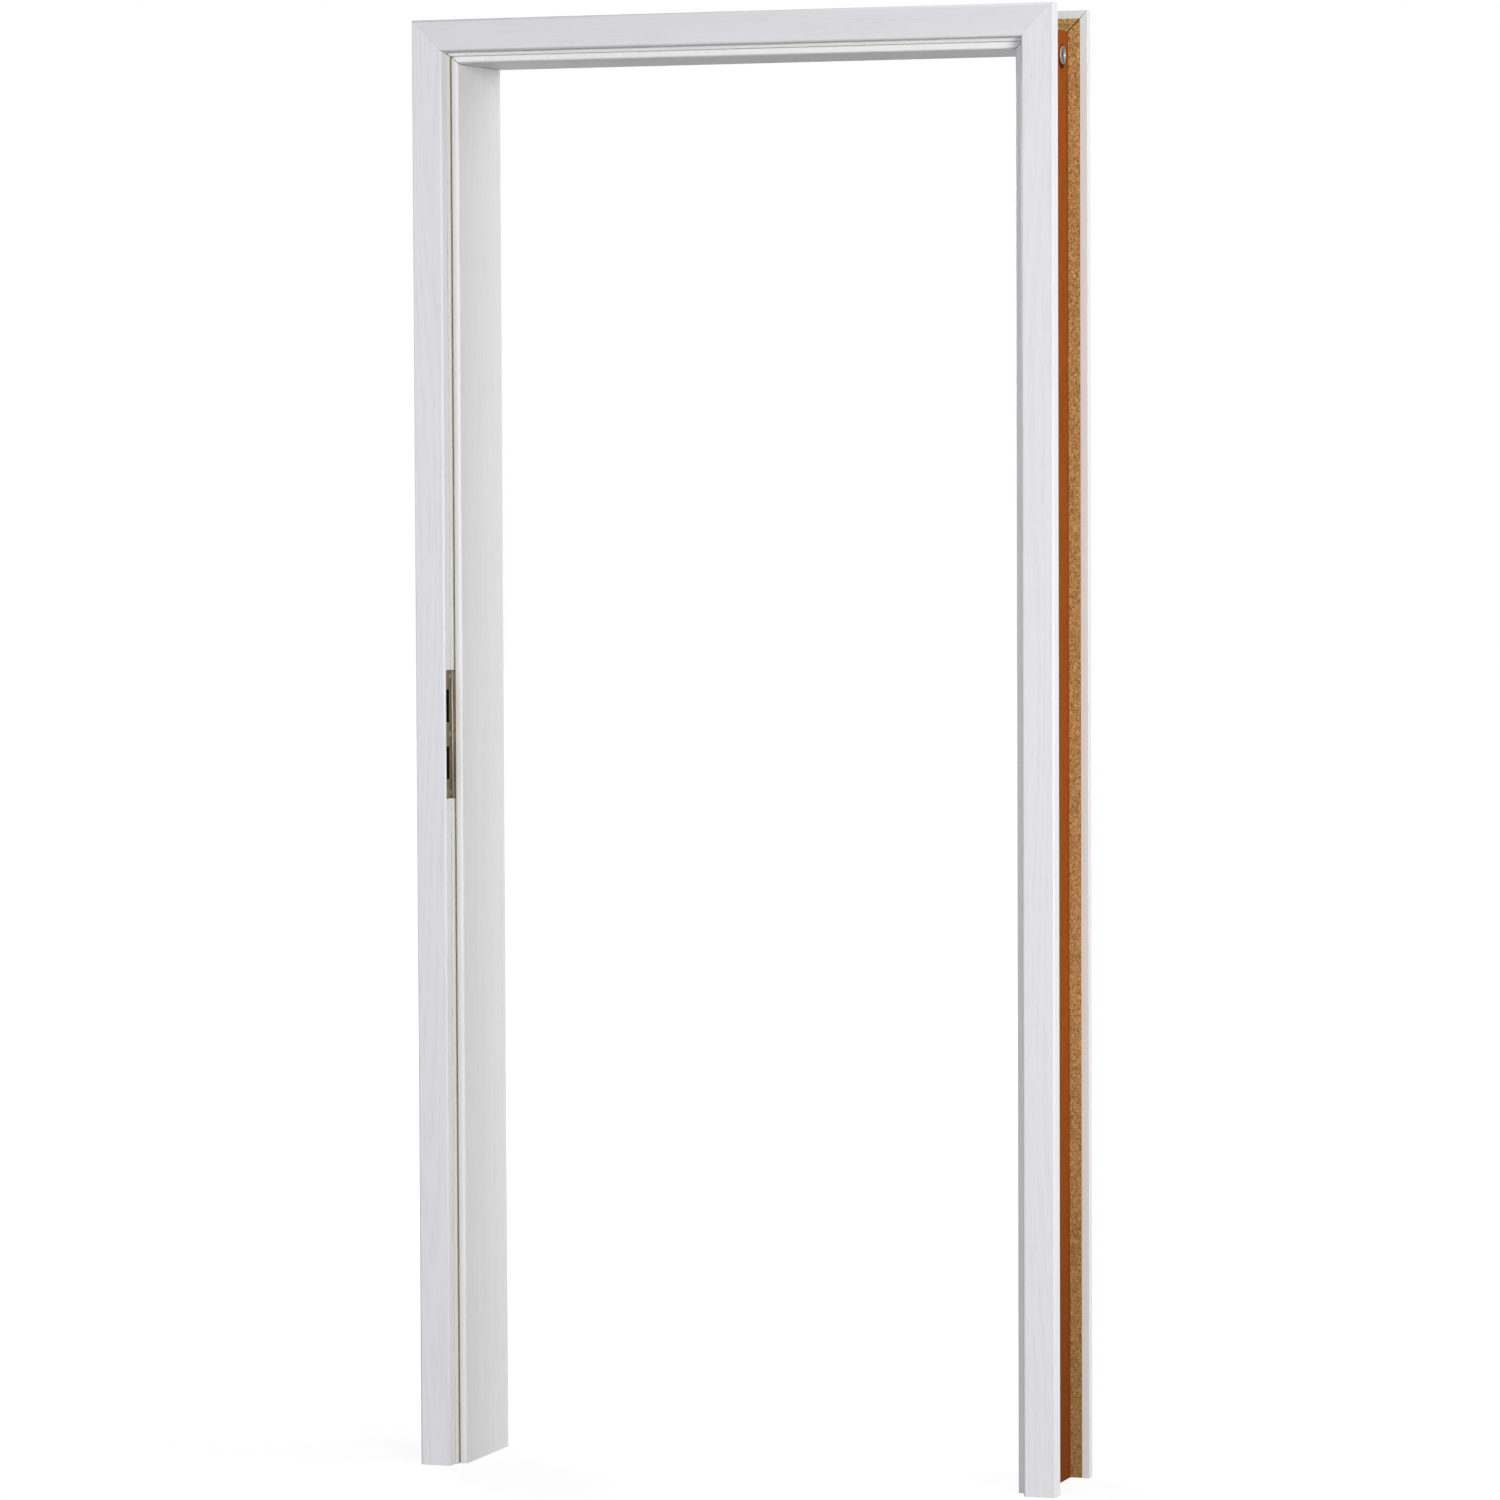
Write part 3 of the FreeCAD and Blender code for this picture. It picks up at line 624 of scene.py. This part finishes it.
def in_dish_of(leg):
    return lambda centre: inset_of(centre, leg) > dish_line


for side in ("latch_side", "hinge_side"):
    for kind, leg in (("jamb_cams_", side), ("header_cams_", "header")):
        in_dish = in_dish_of(leg)
        dressed_fitting(kind + side, "cam_zinc", cast_zinc, dish_zinc_and_shade, is_hollow=in_dish)
    coat(bright_zinc, "corner_bolts_" + side)

# Rear trim: foil-wrapped casings that slide in the lining's rear edge on a tongue.
# Their wall side is raw chipboard, with a strip of smooth foil turned over its edge.
# Flat wooden keys sit in the mitres here too.
trim_outer_zone = 4 * mm
band_width = 11 * mm
trim_inner_zone = 50 * mm
band_back = 173 * mm
trim_back = 183 * mm


def rear_trim_covers(inset, depth, inward, rearward):
    """Foil on the back and both sides, a band on the wall side's edge, else chipboard."""
    if rearward > leaning and depth > trim_back:
        return FOIL
    if inward < -leaning and inset < trim_outer_zone:
        return FOIL
    if rearward < -leaning and inset < band_width and depth < band_back:
        return BAND
    if inward > looking and inset > trim_inner_zone:
        return FOIL
    return CHIPS


for leg in passage_way:
    dressed_board("rear_trim_" + leg, leg, "trim", rear_trim_covers, {BAND}, open_joint)
coat(beech, "rear_mitre_keys")

# Seals: soft beige rubber pressed into a groove in the corner of the rebate, with a
# lip for the leaf and an open channel behind it. In the jambs the lip is pale and the
# channel darker with painted shade; the header's seal is a lighter copy of the rubber
# all through, with painted light.
channel_front = 19.5 * mm
bloom_relief = 0.03 * mm


def soft_rubber(name, low, high):
    """Rubber with a faint bloom on it."""
    made, tree, shader, place = new_material(name)
    bloom = tone_spots(tree, place, 260.0)
    tree.links.new(blended(tree, bloom, low, high), shader.inputs["Base Color"])
    shader.inputs["Roughness"].default_value = 0.6
    raised(tree, shader, bloom, bloom_relief, 0.4)
    return made


pale_rubber = soft_rubber("pale_rubber", (0.700, 0.698, 0.650, 1), (0.745, 0.742, 0.695, 1))
# A darker copy of the rubber for the jambs' channels, with painted shade, and a lighter copy for
# the header's seal, with painted light
shaded_channel_rubber = soft_rubber("shaded_channel_rubber", (0.560, 0.545, 0.462, 1), (0.640, 0.624, 0.536, 1))
lit_header_rubber = soft_rubber("lit_header_rubber", (0.800, 0.800, 0.760, 1), (0.840, 0.840, 0.800, 1))


def lip_and_channel_seal(leg, *rubbers):
    """Seal cut from its solid, lip in one rubber, channel and foot in another; a darker second
    rubber is painted shade.
    """
    name = "seal_" + leg
    seal = merged_copy(name)
    for face in seal.faces:
        depth = face.calc_center_median().y - cad_low.y
        face.material_index = 1 if depth > channel_front else 0
        face.smooth = not is_square(face) and not on_mitre(face)
    piece = new_piece("lip_and_channel_" + name, seal, rubbers)
    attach(piece, "frame")
    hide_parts(name)


lip_and_channel_seal("latch_side", pale_rubber, shaded_channel_rubber)
lip_and_channel_seal("hinge_side", pale_rubber, shaded_channel_rubber)
lip_and_channel_seal("header", lit_header_rubber, lit_header_rubber)

# Studio: a white floor that keeps the shadow and a white surround, with five soft
# lamps: the key in front on the right, and others at the side, low in front, on the
# left and behind. The camera stands on the right at chest height.
floor_half = 30.0
floor_mesh = bpy.data.meshes.new("studio_floor")
plane = bmesh.new()
bmesh.ops.create_grid(plane, x_segments=1, y_segments=1, size=floor_half)
plane.to_mesh(floor_mesh)
plane.free()
floor = bpy.data.objects.new("studio_floor", floor_mesh)
bpy.context.scene.collection.objects.link(floor)


def seen_directly(tree):
    """1 where the camera sees a surface itself, in a reflection or through glass."""
    rays = node(tree, "ShaderNodeLightPath").outputs
    seen = rays["Is Camera Ray"]
    for kind in ("Is Glossy Ray", "Is Transmission Ray"):
        seen = sum_of(tree, "MAXIMUM", seen, rays[kind])
    return seen


# The floor glows to plain white away from the frame, so that no horizon shows
white = (1, 1, 1, 1)
floor_white, bounce_grey = (0.195, 0.195, 0.195, 1), (0.05, 0.05, 0.05, 1)
fade_ends = 1.2, 3.2
near_glow = 0.87
floor_paint = bpy.data.materials.new("studio_floor")
floor_paint.use_nodes = True
tree = floor_paint.node_tree
tree.nodes.clear()
place = node(tree, "ShaderNodeTexCoord").outputs["Object"]
away = vector_sum(tree, "LENGTH", place)["Value"]
glow = spread(tree, away, *fade_ends, near_glow, 1.0)
seen_glow = node(tree, "ShaderNodeEmission", {"Color": white, "Strength": glow}).outputs[0]
seen_white = node(tree, "ShaderNodeBsdfDiffuse", {"Color": floor_white}).outputs[0]
lit_grey = node(tree, "ShaderNodeBsdfDiffuse", {"Color": bounce_grey}).outputs[0]
seen_floor = node(tree, "ShaderNodeAddShader", {0: seen_glow, 1: seen_white}).outputs[0]
floor_parts = {0: seen_directly(tree), 1: lit_grey, 2: seen_floor}
floor_look = node(tree, "ShaderNodeMixShader", floor_parts).outputs[0]
node(tree, "ShaderNodeOutputMaterial", {"Surface": floor_look})
floor_mesh.materials.append(floor_paint)

surround_light = 0.25
world = bpy.data.worlds.new("studio")
world.use_nodes = True
bpy.context.scene.world = world
tree = world.node_tree
tree.nodes.clear()
level = spread(tree, seen_directly(tree), 0.0, 1.0, surround_light, 1.0)
surround = node(tree, "ShaderNodeBackground", {"Color": white, "Strength": level}).outputs[0]
node(tree, "ShaderNodeOutputWorld", {"Surface": surround})

middle = Vector((0, 0, cad_high.z / 2))


def soft_lamp(name, spot, size, power, colour=(1, 1, 1)):
    """Square soft lamp that points at the middle of the frame."""
    lamp = bpy.data.lights.new(name, "AREA")
    lamp.shape = "SQUARE"
    lamp.size = size
    lamp.energy = power
    lamp.color = colour
    holder = bpy.data.objects.new(name, lamp)
    holder.location = spot
    holder.rotation_mode = "QUATERNION"
    holder.rotation_quaternion = (middle - Vector(spot)).to_track_quat("-Z", "Y")
    bpy.context.scene.collection.objects.link(holder)


soft_lamp("key_lamp", (5.0, -5.2, 1.95), size=2.6, power=320, colour=(1.0, 0.988, 0.975))
soft_lamp("side_lamp", (6.5, 1.0, 2.5), size=2.4, power=190)
soft_lamp("low_lamp", (0.8, -6.5, 0.6), size=1.6, power=62)
soft_lamp("left_lamp", (-3.5, -6.5, 1.7), size=2.4, power=114, colour=(0.87, 0.87, 1.0))
soft_lamp("back_lamp", (-5.2, 5.2, 3.7), size=2.8, power=300)

camera_spot = Vector((2.8015, -8.0937, 1.4227))
camera_turn, camera_dip, camera_roll = (math.radians(angle) for angle in (19.106, 2.758, 0.241))
camera = bpy.data.objects.new("camera", bpy.data.cameras.new("camera"))
camera.data.sensor_width = 36.0
camera.data.lens = 147.77
turn = Matrix.Rotation(camera_turn, 4, "Z")
tilt = Matrix.Rotation(math.radians(90) - camera_dip, 4, "X")
roll = Matrix.Rotation(-camera_roll, 4, "Z")
camera.matrix_world = Matrix.Translation(camera_spot) @ turn @ tilt @ roll
bpy.context.scene.collection.objects.link(camera)
bpy.context.scene.camera = camera
bpy.context.scene.view_settings.view_transform = "Standard"

bpy.context.view_layer.update()
